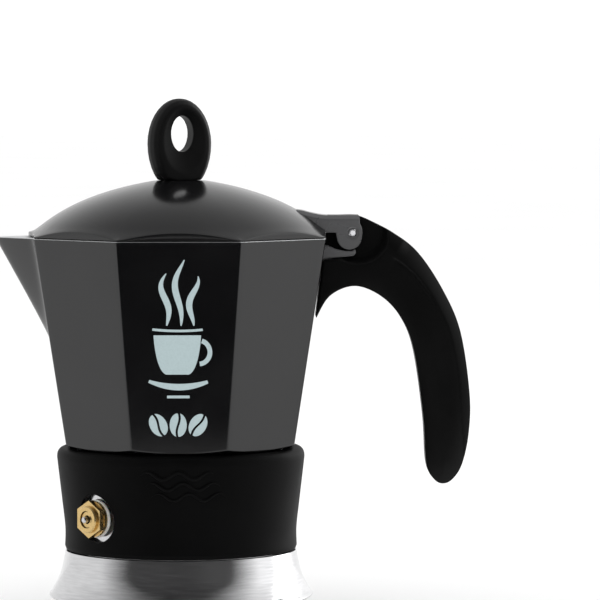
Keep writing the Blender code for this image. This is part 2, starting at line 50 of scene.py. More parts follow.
pin_low, pin_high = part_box("hinge_pin")
PIN_X = (pin_low.x + pin_high.x) / 2 / MM
PIN_Z = (pin_low.z + pin_high.z) / 2 / MM
RIM = PIN_Z - 1.5
KNOB_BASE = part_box("knob")[0].z / MM
KNOB_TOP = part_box("knob")[1].z / MM
BOILER_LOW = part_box("boiler_shell")[0].z / MM
NECK_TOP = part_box("boiler_shell")[1].z / MM
SKIRT_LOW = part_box("collector")[0].z / MM
BAND_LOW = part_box("grip_sleeve")[0].z / MM
BAND_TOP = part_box("grip_sleeve")[1].z / MM

# ---------- driving dimensions, in millimetres ----------

# The octagon and the cup in it.
RIM_APOTHEM = 53.8
FACET_FOOT_APOTHEM = 42.3
FACET_RISE = 76.5
TAPER = (RIM_APOTHEM - FACET_FOOT_APOTHEM) / FACET_RISE
FACET_TILT = math.atan(TAPER)
CORNER_ROUND = 1.5
WALL = 3.2
CUP_FLOOR = 83.3
CHAMBER_TOP = 80.3
SKIRT_INNER_R = 37.0
SKIRT_OUTER_R = 39.9
COLUMN_HOLE_R = 9.3
CONE_START = (40.0, 63.65)
CONE_RISE = 0.4068

# The spout.
SPOUT_FACET = 4
SPOUT_LOW = 101.0
SPOUT_TIP = 70.9
SPOUT_HALF_LOW = 3.0
SPOUT_HALF_GROWTH = 15.0

# The lid: its height over the rim falls with the radius, and a swelling keeps the shoulder full.
DOME_HEIGHT = 22.16
DOME_SLOPE = 0.091
DOME_CURVE = 0.004928
DOME_FULLNESS = 1.22
DOME_REACH = 53.0
SKIN = 2.3
SEAT_R = 9.1
SEAT_Z = KNOB_BASE - 0.35
GAP = 0.35
LID_BEAK_TIP = 57.9

# The hinge.
ARM_HALF = 7.5
SLOT_HALF = 3.8
TONGUE_HALF = 3.4
PEG_HALF = 3.5
TONGUE_R = 3.5
NECK_R = 3.2
EAR_R = 4.65
PIN_BORE_R = 1.5
HINGE_VOXEL = 0.2

# The knob and the handle.
KNOB_SHIFT = 0.4
HANDLE_HALF = 8.5
SCREW_X = 60.0

# The boiler, its band, its valve and its thread.
BAND_SIDE = [(43.4, BAND_LOW + 1.3), (43.3, 34.0), (44.4, 44.0), (45.8, 56.0), (46.3, 60.4)]
VALVE_Z = 40.0
THREAD_PITCH = 3.0
THREAD_START = 65.2

# The camera, far off and slightly above the rim.
EYE = (20.0, -1512.0, RIM + 56.0)
AIM = (44.6, 0.0, RIM - 23.8)
LENS = 243.0

# The white studio, and how bright reflections see its front, its ceiling and its right side.
STUDIO_STRENGTH = 1.12
FRONT_SHADE = 0.06
CEILING_SHADE = 0.54
RIGHT_GLOW = 1.5


# ---------- mesh helpers ----------


def new_piece(name, vertices, faces, merge=0.001, crease=None):
    """A mesh object from points in millimetres, doubled points merged and faces turned outwards."""
    work = bmesh.new()
    made = [work.verts.new(Vector(v)) for v in vertices]
    for face in faces:
        corners = list(dict.fromkeys(face))
        if len(corners) > 2:
            work.faces.new([made[i] for i in corners])
    if merge:
        bmesh.ops.remove_doubles(work, verts=work.verts, dist=merge)
    bmesh.ops.dissolve_degenerate(work, edges=work.edges, dist=1e-5)
    bmesh.ops.recalc_face_normals(work, faces=work.faces)
    bmesh.ops.scale(work, vec=(MM, MM, MM), verts=work.verts)
    mesh = bpy.data.meshes.new(name)
    work.to_mesh(mesh)
    work.free()
    mesh.shade_smooth()
    if crease:
        mesh.set_sharp_from_angle(angle=math.radians(crease))
    piece = bpy.data.objects.new(name, mesh)
    bpy.context.scene.collection.objects.link(piece)
    return piece


def woven(columns, closed_rows=False, closed_columns=True):
    """Vertices and quads of a sheet whose columns are lists of points of one length."""
    rows = len(columns[0])
    count = len(columns)
    vertices = [point for column in columns for point in column]
    faces = []
    for c in range(count if closed_columns else count - 1):
        after = (c + 1) % count
        for r in range(rows if closed_rows else rows - 1):
            above = (r + 1) % rows
            faces.append((c * rows + r, after * rows + r, after * rows + above, c * rows + above))
    return vertices, faces


def turned_piece(name, path, segments=160, closed=False, crease=None):
    """A turned solid from (radius, z) points."""
    columns = []
    for step in range(segments):
        angle = math.tau * step / segments
        columns.append([(r * math.cos(angle), r * math.sin(angle), z) for r, z in path])
    vertices, faces = woven(columns, closed_rows=closed)
    return new_piece(name, vertices, faces, crease=crease)


def rounded(path, steps=3, closed=False):
    """Control points given as (point, radius) with their corners rounded off."""
    points = [Vector(p) for p, _ in path]
    out = []
    count = len(points)
    for i, (_, radius) in enumerate(path):
        here = points[i]
        if radius <= 0 or (not closed and i in (0, count - 1)):
            out.append(here)
            continue
        before = points[i - 1]
        after = points[(i + 1) % count]
        back = min(radius, (before - here).length * 0.49)
        on = min(radius, (after - here).length * 0.49)
        start = here + (before - here).normalized() * back
        end = here + (after - here).normalized() * on
        for step in range(steps + 1):
            t = step / steps
            out.append(start * (1 - t) ** 2 + here * 2 * t * (1 - t) + end * t * t)
    return out


def rounded_profile(path, steps=3, closed=False):
    """The same for a profile of (radius, z, rounding)."""
    points = rounded([((r, 0, z), rounding) for r, z, rounding in path], steps, closed)
    return [(p.x, p.z) for p in points]


def smooth_through(points, steps):
    """A Catmull-Rom curve through points of any dimension."""
    curve = []
    padded = [points[0], *points, points[-1]]
    for a, b, c, d in zip(padded, padded[1:], padded[2:], padded[3:]):
        a, b, c, d = (np.array(p, float) for p in (a, b, c, d))
        for step in range(steps):
            t = step / steps
            square = (2 * a - 5 * b + 4 * c - d) * t**2
            bend = 2 * b + (c - a) * t + square + (3 * b - a - 3 * c + d) * t**3
            curve.append(tuple(bend / 2))
    curve.append(tuple(points[-1]))
    return curve


def baked(piece):
    """Applies the piece's modifiers."""
    graph = bpy.context.evaluated_depsgraph_get()
    mesh = bpy.data.meshes.new_from_object(piece.evaluated_get(graph))
    piece.modifiers.clear()
    piece.data = mesh
    return piece


def cut(piece, cutter, operation="DIFFERENCE"):
    """Cuts a piece with a helper mesh, which is then removed."""
    boolean = piece.modifiers.new("cut", "BOOLEAN")
    boolean.operation = operation
    boolean.object = cutter
    baked(piece)
    bpy.data.objects.remove(cutter, do_unlink=True)
    return piece


def prism_piece(name, outline, half_low, half_high):
    """An (x, z) outline extruded along Y from half_low to half_high."""
    count = len(outline)
    vertices = [(x, half_low, z) for x, z in outline] + [(x, half_high, z) for x, z in outline]
    faces = [tuple(range(count)), tuple(range(2 * count - 1, count - 1, -1))]
    for i in range(count):
        after = (i + 1) % count
        faces.append((i, after, count + after, count + i))
    return new_piece(name, vertices, faces)


def rod_piece(name, radius, start, end, segments=48):
    """A straight rod between two points."""
    start, end = Vector(start), Vector(end)
    along = (end - start).normalized()
    side = along.orthogonal().normalized()
    other = along.cross(side)
    columns = []
    for step in range(segments):
        angle = math.tau * step / segments
        reach = side * math.cos(angle) * radius + other * math.sin(angle) * radius
        columns.append([start, start + reach, end + reach, end])
    vertices, faces = woven(columns)
    return new_piece(name, vertices, faces)


def softened(piece, iterations):
    """Relaxes a dense mesh, so that its edges become round."""
    soften = piece.modifiers.new("soften", "SMOOTH")
    soften.factor = 0.5
    soften.iterations = iterations
    baked(piece)
    piece.data.shade_smooth()
    return piece


def remeshed(piece, voxel, smooth=0):
    """Rebuilds a piece from small even quads and softens its edges."""
    weld = piece.modifiers.new("weld", "WELD")
    weld.merge_threshold = 1e-6
    voxels = piece.modifiers.new("voxels", "REMESH")
    voxels.mode = "VOXEL"
    voxels.voxel_size = voxel * MM
    voxels.adaptivity = 0.0
    baked(piece)
    if smooth:
        softened(piece, smooth)
    piece.data.shade_smooth()
    return piece


def sharpened(piece, degrees):
    """Smooth shading that stops at edges sharper than the angle."""
    piece.data.shade_smooth()
    piece.data.set_sharp_from_angle(angle=math.radians(degrees))
    return piece


def positions(piece):
    """The piece's vertices as an array of points in metres."""
    flat = np.empty(len(piece.data.vertices) * 3, np.float32)
    piece.data.vertices.foreach_get("co", flat)
    return flat.reshape(-1, 3).astype(float)


def set_positions(piece, points):
    piece.data.vertices.foreach_set("co", points.astype(np.float32).ravel())
    piece.data.update()


def copy_of(node, name):
    """A new object with a copy of a CAD node's mesh."""
    piece = bpy.data.objects.new(name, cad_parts[node].data.copy())
    bpy.context.scene.collection.objects.link(piece)
    piece.data.materials.clear()
    return piece


def place(piece, body, slot, look, *nodes):
    """Gives a piece its material, parents it to its body's empty and hides the CAD nodes that it stands
    for.
    """
    if look:
        piece.data.materials.clear()
        piece.data.materials.append(look)
    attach(piece, body)
    if nodes:
        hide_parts(*nodes)
    return piece


def dress(node, look):
    """A CAD node that stays: its own solid, shaded smooth between sharp edges, in a finished material."""
    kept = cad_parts[node]
    kept.data.materials.clear()
    kept.data.materials.append(look)
    kept.data.shade_smooth()
    weld = kept.modifiers.new("weld", "WELD")
    weld.merge_threshold = 1e-6
    split = kept.modifiers.new("split", "EDGE_SPLIT")
    split.split_angle = math.radians(32)


# ---------- materials ----------


def shader_of(name):
    """A new node material: the material, its nodes, its links and its shader."""
    look = bpy.data.materials.new(name)
    look.use_nodes = True
    return look, look.node_tree.nodes, look.node_tree.links, look.node_tree.nodes["Principled BSDF"]


def noise(nodes, links, scale, detail=3.0, stretch=(1, 1, 1), roughness=0.5):
    """A noise texture over the object's own coordinates, in features per metre."""
    place_at = nodes.new("ShaderNodeTexCoord")
    mapping = nodes.new("ShaderNodeMapping")
    mapping.inputs["Scale"].default_value = stretch
    texture = nodes.new("ShaderNodeTexNoise")
    texture.inputs["Scale"].default_value = scale
    texture.inputs["Detail"].default_value = detail
    texture.inputs["Roughness"].default_value = roughness
    links.new(place_at.outputs["Object"], mapping.inputs["Vector"])
    links.new(mapping.outputs["Vector"], texture.inputs["Vector"])
    return texture.outputs["Fac"]


def ramp(nodes, links, source, stops):
    """A colour or grey ramp over a source, from (place, value) stops."""
    made = nodes.new("ShaderNodeValToRGB")
    elements = made.color_ramp.elements
    while len(elements) < len(stops):
        elements.new(0.5)
    for element, (where, value) in zip(elements, stops):
        element.position = where
        element.color = (*value, 1.0) if isinstance(value, tuple) else (value, value, value, 1.0)
    links.new(source, made.inputs["Fac"])
    return made.outputs["Color"]


def vary(nodes, links, shader, socket, source, low, high, span=(0.3, 0.7)):
    """Lets a source move one of the shader's inputs between two values."""
    links.new(ramp(nodes, links, source, [(span[0], low), (span[1], high)]), shader.inputs[socket])


def bump(nodes, links, shader, source, distance, strength):
    """Fine relief, its depth in metres."""
    made = nodes.new("ShaderNodeBump")
    made.inputs["Distance"].default_value = distance
    made.inputs["Strength"].default_value = strength
    links.new(source, made.inputs["Height"])
    links.new(made.outputs["Normal"], shader.inputs["Normal"])


def gloss_black():
    """Oven-baked black enamel on cast aluminium: a faint orange peel and slightly uneven gloss."""
    look, nodes, links, shader = shader_of("gloss_black_enamel")
    patches = noise(nodes, links, 45, 4)
    vary(nodes, links, shader, "Base Color", patches, (0.0024, 0.0024, 0.0028), (0.0045, 0.0045, 0.0049))
    vary(nodes, links, shader, "Roughness", patches, 0.15, 0.21, (0.25, 0.75))
    shader.inputs["IOR"].default_value = 1.52
    bump(nodes, links, shader, noise(nodes, links, 900, 2), 0.00001, 0.35)
    return look


def matte_black(name, low, high, rough_low, rough_high, grain_scale, grain_depth, specular=0.5):
    """A matte surface with a fine grain, such as moulded plastic, rubber or bare enamel."""
    look, nodes, links, shader = shader_of(name)
    patches = noise(nodes, links, 60, 4)
    vary(nodes, links, shader, "Base Color", patches, (low, low, low * 1.04), (high, high, high * 1.04))
    vary(nodes, links, shader, "Roughness", patches, rough_low, rough_high, (0.25, 0.75))
    shader.inputs["Specular IOR Level"].default_value = specular
    bump(nodes, links, shader, noise(nodes, links, grain_scale, 3, roughness=0.6), grain_depth, 0.6)
    return look


def metal(name, colour, rough_low, rough_high, stretch=(1, 1, 1), scale=400, depth=0.00001):
    """A worked metal: its grain runs across the stretched direction."""
    look, nodes, links, shader = shader_of(name)
    shader.inputs["Metallic"].default_value = 1.0
    grain = noise(nodes, links, scale, 4, stretch)
    darker = tuple(c * 0.86 for c in colour)
    vary(nodes, links, shader, "Base Color", grain, darker, colour)
    vary(nodes, links, shader, "Roughness", grain, rough_low, rough_high)
    bump(nodes, links, shader, grain, depth, 0.4)
    return look


def silicone():
    """The off-white rubber of the seals."""
    look, nodes, links, shader = shader_of("seal_silicone")
    clouds = noise(nodes, links, 120, 4)
    vary(nodes, links, shader, "Base Color", clouds, (0.62, 0.61, 0.57), (0.74, 0.73, 0.70))
    vary(nodes, links, shader, "Roughness", clouds, 0.5, 0.65)
    shader.inputs["Subsurface Weight"].default_value = 0.1
    shader.inputs["Subsurface Scale"].default_value = 0.002
    bump(nodes, links, shader, noise(nodes, links, 2500, 2), 0.00002, 0.4)
    return look


def print_ink():
    """Pale screen-print ink, slightly uneven in cover."""
    look, nodes, links, shader = shader_of("pale_print_ink")
    cover = noise(nodes, links, 1400, 3)
    vary(nodes, links, shader, "Base Color", cover, (0.40, 0.50, 0.515), (0.45, 0.555, 0.57), (0.2, 0.7))
    vary(nodes, links, shader, "Roughness", cover, 0.42, 0.52)
    bump(nodes, links, shader, cover, 0.00001, 0.5)
    return look


def floor_look():
    """A pale matte studio floor."""
    look, nodes, links, shader = shader_of("pale_floor")
    clouds = noise(nodes, links, 3, 2)
    vary(nodes, links, shader, "Base Color", clouds, (0.90, 0.90, 0.90), (0.92, 0.92, 0.92))
    shader.inputs["Roughness"].default_value = 0.9
    shader.inputs["Specular IOR Level"].default_value = 0.1
    return look


# ---------- the octagon ----------


def apothem_at(z):
    """Half the width across the flats at a height."""
    return RIM_APOTHEM + TAPER * (z - RIM)


def stations():
    """Places round the octagon: (facet, share along the flat) or (corner, degrees round it)."""
    made = []
    for facet in range(8):
        flat_steps = 36 if facet == SPOUT_FACET else 10
        for step in range(flat_steps):
            made.append(("flat", facet, -1 + 2 * (step + 0.5) / flat_steps))
        for step in range(7):
            made.append(("corner", facet, 45.0 * step / 6))
    return made


def on_spout_flat(station):
    """Whether a station lies on the flat that carries the spout."""
    return station[0] == "flat" and station[1] == SPOUT_FACET


def octagon_point(station, apothem, rounding=CORNER_ROUND):
    """The (x, y) of a station on an octagon with rounded corners."""
    kind, facet, share = station
    facing = facet * math.pi / 4
    if kind == "corner":
        corner = facing + math.pi / 8
        centre = (apothem - rounding) / math.cos(math.pi / 8)
        angle = facing + math.radians(share)
        x = centre * math.cos(corner) + rounding * math.cos(angle)
        y = centre * math.sin(corner) + rounding * math.sin(angle)
        return x, y
    half = (apothem - rounding) * math.tan(math.pi / 8)
    x = apothem * math.cos(facing) - half * share * math.sin(facing)
    y = apothem * math.sin(facing) + half * share * math.cos(facing)
    return x, y


def soft_max(a, b, width):
    """The larger of two numbers, with the corner between them rounded."""
    h = max(width - abs(a - b), 0.0) / width
    return max(a, b) + h * h * width / 4


def beaked(x, y, apothem, tip, half, blunt, soft):
    """Pulls the spout side out to a beak that reaches half to each side where it leaves the facet."""
    if x > -apothem + 1.0 or half < 1.0 or tip <= apothem:
        return x, y
    reach = tip - math.hypot(y, blunt) * (tip - apothem) / half
    soft = min(soft, 0.5 * max(tip - apothem, 0.02))
    return -soft_max(apothem, reach, soft), y


def wall_point(station, z, inset=0.0):
    """A point of the collector's outer wall, or of its inner wall with an inset."""
    x, y = octagon_point(station, apothem_at(z) - inset, max(CORNER_ROUND - inset * 0.2, 0.9))
    rise = (z - SPOUT_LOW - inset * 2.2) / (RIM - SPOUT_LOW)
    if on_spout_flat(station) and rise > 0.0:
        low_tip = apothem_at(SPOUT_LOW) - inset
        tip = low_tip + (SPOUT_TIP - 2.2 * inset - low_tip) * rise
        half = (SPOUT_HALF_LOW + SPOUT_HALF_GROWTH * rise) - inset * 0.5
        x, y = beaked(x, y, apothem_at(z) - inset, tip, half, 1.6, 2.0)
    return x, y, z


def bottom_edge(station):
    """Where the wall meets the cone under the facets."""
    z = 66.0
    for _ in range(6):
        x, y = octagon_point(station, apothem_at(z))
        z = CONE_START[1] + (math.hypot(x, y) - CONE_START[0]) * CONE_RISE
    return x, y, z


def ring_point(station, radius, z):
    """The point on a circle that lies in the direction of a station."""
    x, y = octagon_point(station, RIM_APOTHEM)
    length = math.hypot(x, y)
    return x / length * radius, y / length * radius, z


# ---------- collector ----------


def collector_shell(looks):
    """The upper pot as three sheets: its painted outside, its bare cup and the chamber under the cup."""
    outside, inside, under = [], [], []
    for station in stations():
        edge = bottom_edge(station)
        edge_r = math.hypot(edge[0], edge[1])
        path = [
            (ring_point(station, SKIRT_INNER_R, SKIRT_LOW + 0.9), 0),
            (ring_point(station, SKIRT_INNER_R + 0.6, SKIRT_LOW), 0.2),
            (ring_point(station, SKIRT_OUTER_R, SKIRT_LOW), 0.4),
            (ring_point(station, *CONE_START), 0.2),
            (ring_point(station, (edge_r + CONE_START[0]) / 2, (edge[2] + CONE_START[1]) / 2), 0),
            (edge, 0.55),
            (wall_point(station, edge[2] + 0.65), 0),
            (wall_point(station, edge[2] + 1.2), 0),
        ]
        for z in np.linspace(70.0, RIM - 2.0, 26):
            path.append((wall_point(station, float(z)), 0))
        path.append((wall_point(station, RIM - 0.25), 0))
        outside.append([tuple(p) for p in rounded(path, 4)])
        lip = [(outside[-1][-1], 0), (wall_point(station, RIM - 0.02, 0.2), 0.05)]
        for z in [RIM - 0.02, *np.linspace(RIM - 3.0, 88.0, 18)]:
            lip.append((wall_point(station, float(z), WALL), 0.5 if z > RIM - 1 else 0))
        lip.append((ring_point(station, 38.5, CUP_FLOOR + 0.3), 3.0))
        lip.append((ring_point(station, 30.0, CUP_FLOOR), 0))
        lip.append((ring_point(station, COLUMN_HOLE_R, CUP_FLOOR), 0))
        inside.append([tuple(p) for p in rounded(lip, 4)])
        chamber_path = [
            (ring_point(station, SKIRT_INNER_R, SKIRT_LOW + 0.9), 0),
            (ring_point(station, SKIRT_INNER_R, CHAMBER_TOP), 0.6),
            (ring_point(station, COLUMN_HOLE_R, CHAMBER_TOP), 0),
            (ring_point(station, COLUMN_HOLE_R, CUP_FLOOR), 0),
        ]
        under.append([tuple(p) for p in rounded(chamber_path, 3)])
    painted = new_piece("collector_outside", *woven(outside))
    bare = new_piece("collector_inside", *woven(inside))
    chamber = new_piece("collector_underside", *woven(under))
    place(painted, "upper_pot", "black_gloss", looks["gloss"], "collector")
    place(bare, "upper_pot", "black_gloss", looks["cast"], "collector")
    place(chamber, "upper_pot", "black_gloss", looks["cast"], "collector")


def column_piece(looks):
    """The coffee column in the cup, with its two outlet windows."""
    bore = [(0, 128.4, 0), (3.9, 125.2, 0.6), (4.0, 85.5, 1.0), (7.6, 80.5, 0.3)]
    foot = [(9.0, 80.5, 0.2), (9.0, 83.6, 0.1), (12.0, 83.5, 0.4), (11.8, 84.7, 0.6), (9.9, 87.6, 2.0)]
    tower = [(9.0, 100.0, 0), (6.8, 126.0, 1.5), (5.4, 129.8, 1.2), (2.6, 130.95, 0.8), (0, 131.0, 0)]
    column = turned_piece("cup_column", rounded_profile(bore + foot + tower, 5), 96)
    window = [(-2.9, 120.1), (2.9, 120.1), (2.9, 124.9), (-2.9, 124.9)]
    cut(column, prism_piece("window", window, -9.0, 9.0))
    sharpened(column, 38)
    place(column, "upper_pot", "aluminium", looks["cast"], "coffee_column")


def helix_piece(name, wall_r, crest_r, turns, start_z, first_angle, per_turn=72):
    """A thread ridge that fades into its wall at both ends."""
    columns = []
    steps = round(turns * per_turn)
    for step in range(steps + 1):
        share = step / steps
        fade = min(1.0, share / 0.06, (1 - share) / 0.06)
        crest = wall_r + (crest_r - wall_r) * (0.15 + 0.85 * fade)
        angle = first_angle + math.tau * step / per_turn
        rise = start_z + THREAD_PITCH * step / per_turn
        section = [(wall_r, -0.95), (crest, -0.4), (crest, 0.4), (wall_r, 0.95)]
        columns.append([(r * math.cos(angle), r * math.sin(angle), rise + dz) for r, dz in section])
    vertices, faces = woven(columns, closed_rows=True, closed_columns=False)
    last = len(vertices) - 4
    faces += [(0, 1, 2, 3), (last, last + 1, last + 2, last + 3)]
    return new_piece(name, vertices, faces, crease=40)


def bracket_piece(looks):
    """The trough under the ears with the tongue that carries the pin and the peg in the handle."""
    floor = [(51.6, -3.0), (54.6, -3.1), (57.9, -4.5), (61.2, -5.2), (63.8, -5.2), (65.1, -4.6)]
    floor += [(65.3, -5.9), (64.4, -7.0), (58.0, -7.6), (51.6, -8.2)]
    tongue = [(51.6, -0.6), (54.15, -0.6), (54.2, 1.35), (55.3, 1.35), (56.0, 2.8), (60.2, 4.0)]
    for step in range(21):
        angle = math.radians(110 - 135 * step / 20)
        tongue.append((PIN_X + TONGUE_R * math.cos(angle), 1.5 + TONGUE_R * math.sin(angle)))
    tongue += [(66.2, -2.6), (65.0, -4.8), (64.2, -6.6), (51.6, -7.6)]
    peg = [(56.5, -6.8), (63.5, -6.8), (63.5, -14.0), (56.5, -14.0)]
    bracket = prism_piece("hinge_bracket", [(x, RIM + z) for x, z in floor], -ARM_HALF, ARM_HALF)
    cut(bracket, prism_piece("peg", [(x, RIM + z) for x, z in peg], -PEG_HALF, PEG_HALF), "UNION")
    web = prism_piece("hinge_tongue", [(x, RIM + z) for x, z in tongue], -TONGUE_HALF, TONGUE_HALF)
    cut(web, rod_piece("bore", PIN_BORE_R, (PIN_X, -5, PIN_Z), (PIN_X, 5, PIN_Z)))
    remeshed(web, HINGE_VOXEL, 4)
    # The tongue gets a near-black enamel, darker than the satin grey bracket: painted shade for the
    # shadow between the ears.
    place(web, "upper_pot", "black_gloss", looks["shaded"], "collector")
    remeshed(bracket, HINGE_VOXEL, 4)
    place(bracket, "upper_pot", "black_gloss", looks["satin"], "collector")


# ---------- lid ----------


def dome_z(radius):
    """Height of the lid's outside at a radius."""
    share = min((radius / DOME_REACH) ** 2.3, 1.0)
    swelling = 4 * DOME_FULLNESS * share * (1 - share)
    return RIM + DOME_HEIGHT - DOME_SLOPE * radius - DOME_CURVE * radius**2 + swelling


def lid_shell(looks):
    """The lid: a dome that meets the eight straight edges, a beak over the spout, and its hollow."""
    columns = []
    for station in stations():
        x, y = octagon_point(station, RIM_APOTHEM, 1.3)
        if on_spout_flat(station):
            x, y = beaked(x, y, RIM_APOTHEM, LID_BEAK_TIP, 14.0, 4.0, 1.6)
        edge_r = math.hypot(x, y)
        ux, uy = x / edge_r, y / edge_r
        top = max(dome_z(edge_r), RIM + GAP + 0.22)
        if x < -RIM_APOTHEM - 0.5:
            top = RIM + GAP + 1.5
        path = [((0, 0, SEAT_Z), 0), ((ux * SEAT_R, uy * SEAT_R, SEAT_Z), 0.25)]
        for share in np.linspace(0.04, 0.97, 30):
            radius = SEAT_R + (edge_r - SEAT_R) * share
            path.append(((ux * radius, uy * radius, max(dome_z(radius), top)), 0))
        path.append(((x, y, top), 0.22))
        path.append(((x, y, RIM + GAP), 0.12))
        path.append(((ux * 50.0, uy * 50.0, RIM + GAP), 0.4))
        for radius in np.linspace(49.0, 3.0, 20):
            path.append(((ux * radius, uy * radius, dome_z(radius) - SKIN), 0))
        path.append(((0, 0, dome_z(0) - SKIN), 0))
        columns.append([tuple(p) for p in rounded(path, 3)])
    vertices, faces = woven(columns)
    shell = new_piece("lid_shell", vertices, faces)
    place(shell, "lid_group", "black_gloss", looks["gloss"], "lid")


def arm_piece(looks):
    """The lid's cast hinge arm with its two ears."""
    top = [(43.0, 10.1), (45.5, 9.8), (48.5, 9.0), (53.0, 8.15), (58.0, 8.0), (63.0, 8.1), (66.6, 8.0)]
    crown = smooth_through(top, 3)
    ear = [(66.7, 5.1), (67.5, 3.6), (67.7, 1.6)]
    lobe = []
    for step in range(25):
        angle = math.radians(-8 - 162 * step / 24)
        lobe.append((62.8 + EAR_R * math.cos(angle), EAR_R * math.sin(angle)))
    below = [(57.8, 1.7), (52.6, 1.7), (50.5, 3.9), (46.0, 7.0), (43.0, 8.7)]
    outline = [(x, RIM + z) for x, z in crown + ear + lobe + below]
    arm = prism_piece("hinge_arm", outline, -ARM_HALF, ARM_HALF)
    slot = [(54.9, -12.0), (80.0, -12.0), (80.0, 20.0), (54.9, 20.0)]
    cut(arm, prism_piece("slot", [(x, RIM + z) for x, z in slot], -SLOT_HALF, SLOT_HALF))
    cut(arm, rod_piece("bore", PIN_BORE_R, (PIN_X, -12, PIN_Z), (PIN_X, 12, PIN_Z)))
    remeshed(arm, HINGE_VOXEL)
    points = positions(arm) / MM
    x, y, z = points.T
    crown = np.array(crown)
    depth = np.interp(x, crown[:, 0], RIM + crown[:, 1]) - z
    half = np.full(len(x), ARM_HALF)
    # A chamfer along the top edges.
    half -= 1.3 * np.clip(1 - depth / 1.5, 0, 1)
    # A shallow ring groove round the rivet's head.
    ring = np.hypot(x - PIN_X, z - PIN_Z) - 1.9
    half -= 0.35 * np.exp(-((ring / 0.3) ** 2))
    y = np.sign(y) * np.minimum(np.abs(y), half)
    set_positions(arm, np.stack([x, y, z], 1) * MM)
    softened(arm, 3)
    place(arm, "lid_group", "black_gloss", looks["satin"], "lid")


def pin_piece(looks):
    """The rivet: a shank with low domed heads flush with the ears."""
    head = [(0, -ARM_HALF, 0), (0.95, -7.45, 0.2), (1.0, -7.0, 0), (1.3, -6.8, 0)]
    path = rounded_profile(head + [(r, -y, rounding) for r, y, rounding in reversed(head)], 3)
    columns = []
    for step in range(40):
        angle = math.tau * step / 40
        columns.append([(PIN_X + r * math.cos(angle), y, PIN_Z + r * math.sin(angle)) for r, y in path])
    pin = new_piece("hinge_rivet", *woven(columns))
    place(pin, "upper_pot", "steel", looks["rivet"], "hinge_pin")


# ---------- knob and handle ----------


def knob_piece(looks):
    """The ring knob, smoothed from the CAD solid and seated on the lid."""
    knob = copy_of("knob", "ring_knob")
    remeshed(knob, 0.3, 16)
    points = positions(knob) / MM
    low, high = points[:, 2].min(), points[:, 2].max()
    seat = SEAT_Z - 0.05
    top = KNOB_TOP - 0.05
    points[:, 2] = seat + (points[:, 2] - low) * (top - seat) / (high - low)
    points[:, 0] -= KNOB_SHIFT
    set_positions(knob, points * MM)
    place(knob, "lid_group", "phenolic", looks["knob"], "knob")


CREASE = [
    (78.6, -7.5), (84.0, -11.3), (88.6, -15.9), (93.3, -22.1),
    (97.1, -28.3), (100.2, -35.2), (103.2, -48.3), (104.3, -60.0),
]


def near_crease(x, z):
    """Distance to the crease on the handle's side, which side of it, and the share of the way along."""
    line = np.array(smooth_through(CREASE, 8))
    line[:, 1] += RIM
    best = np.full(len(x), 1e9)
    side = np.zeros(len(x))
    along = np.zeros(len(x))
    for i, (start, end) in enumerate(zip(line, line[1:])):
        step = end - start
        length = np.hypot(*step)
        t = np.clip(((x - start[0]) * step[0] + (z - start[1]) * step[1]) / length**2, 0, 1)
        dx = x - start[0] - t * step[0]
        dz = z - start[1] - t * step[1]
        distance = np.hypot(dx, dz)
        closer = distance < best
        best = np.where(closer, distance, best)
        side = np.where(closer, np.sign(step[0] * dz - step[1] * dx), side)
        along = np.where(closer, (i + t) / (len(line) - 1), along)
    return best, side, along


def handle_outline():
    """The handle's side view: the neck round the hinge, the back, the tip and the arch."""
    neck = [(52.9, -8.6), (58.0, -8.0), (63.9, -7.3), (64.4, -5.8), (64.4, -4.4), (65.4, -2.6)]
    for step in range(13):
        angle = math.radians(-25 + 100 * step / 12)
        neck.append((PIN_X + NECK_R * math.cos(angle), 1.5 + NECK_R * math.sin(angle)))
    back = [(66.4, 7.8), (70.7, 6.0), (79.7, 1.2), (88.6, -5.9), (97.6, -19.4), (104.3, -35.0)]
    back += [(107.8, -58.0), (107.6, -72.7), (105.2, -84.7), (101.6, -90.6), (97.9, -92.3), (94.6, -90.6)]
    arch = [(91.7, -84.7), (90.5, -66.8), (87.1, -42.9), (82.6, -30.9), (75.2, -22.4), (65.1, -18.2)]
    arch += [(55.6, -21.9), (50.2, -30.9)]
    return [(x, RIM + z) for x, z in neck + smooth_through(back + arch, 6)]


def edge_distance(x, z, outline):
    """Distance of each point to a closed outline."""
    best = np.full(len(x), 1e9)
    for (ax, az), (bx, bz) in zip(outline, outline[1:] + outline[:1]):
        dx, dz = bx - ax, bz - az
        t = np.clip(((x - ax) * dx + (z - az) * dz) / max(dx * dx + dz * dz, 1e-9), 0, 1)
        best = np.minimum(best, np.hypot(x - ax - t * dx, z - az - t * dz))
    return best


def eased(value, low, high):
    """0 below low, 1 above high, and a smooth step between."""
    share = np.clip((value - low) / (high - low), 0, 1)
    return share * share * (3 - 2 * share)


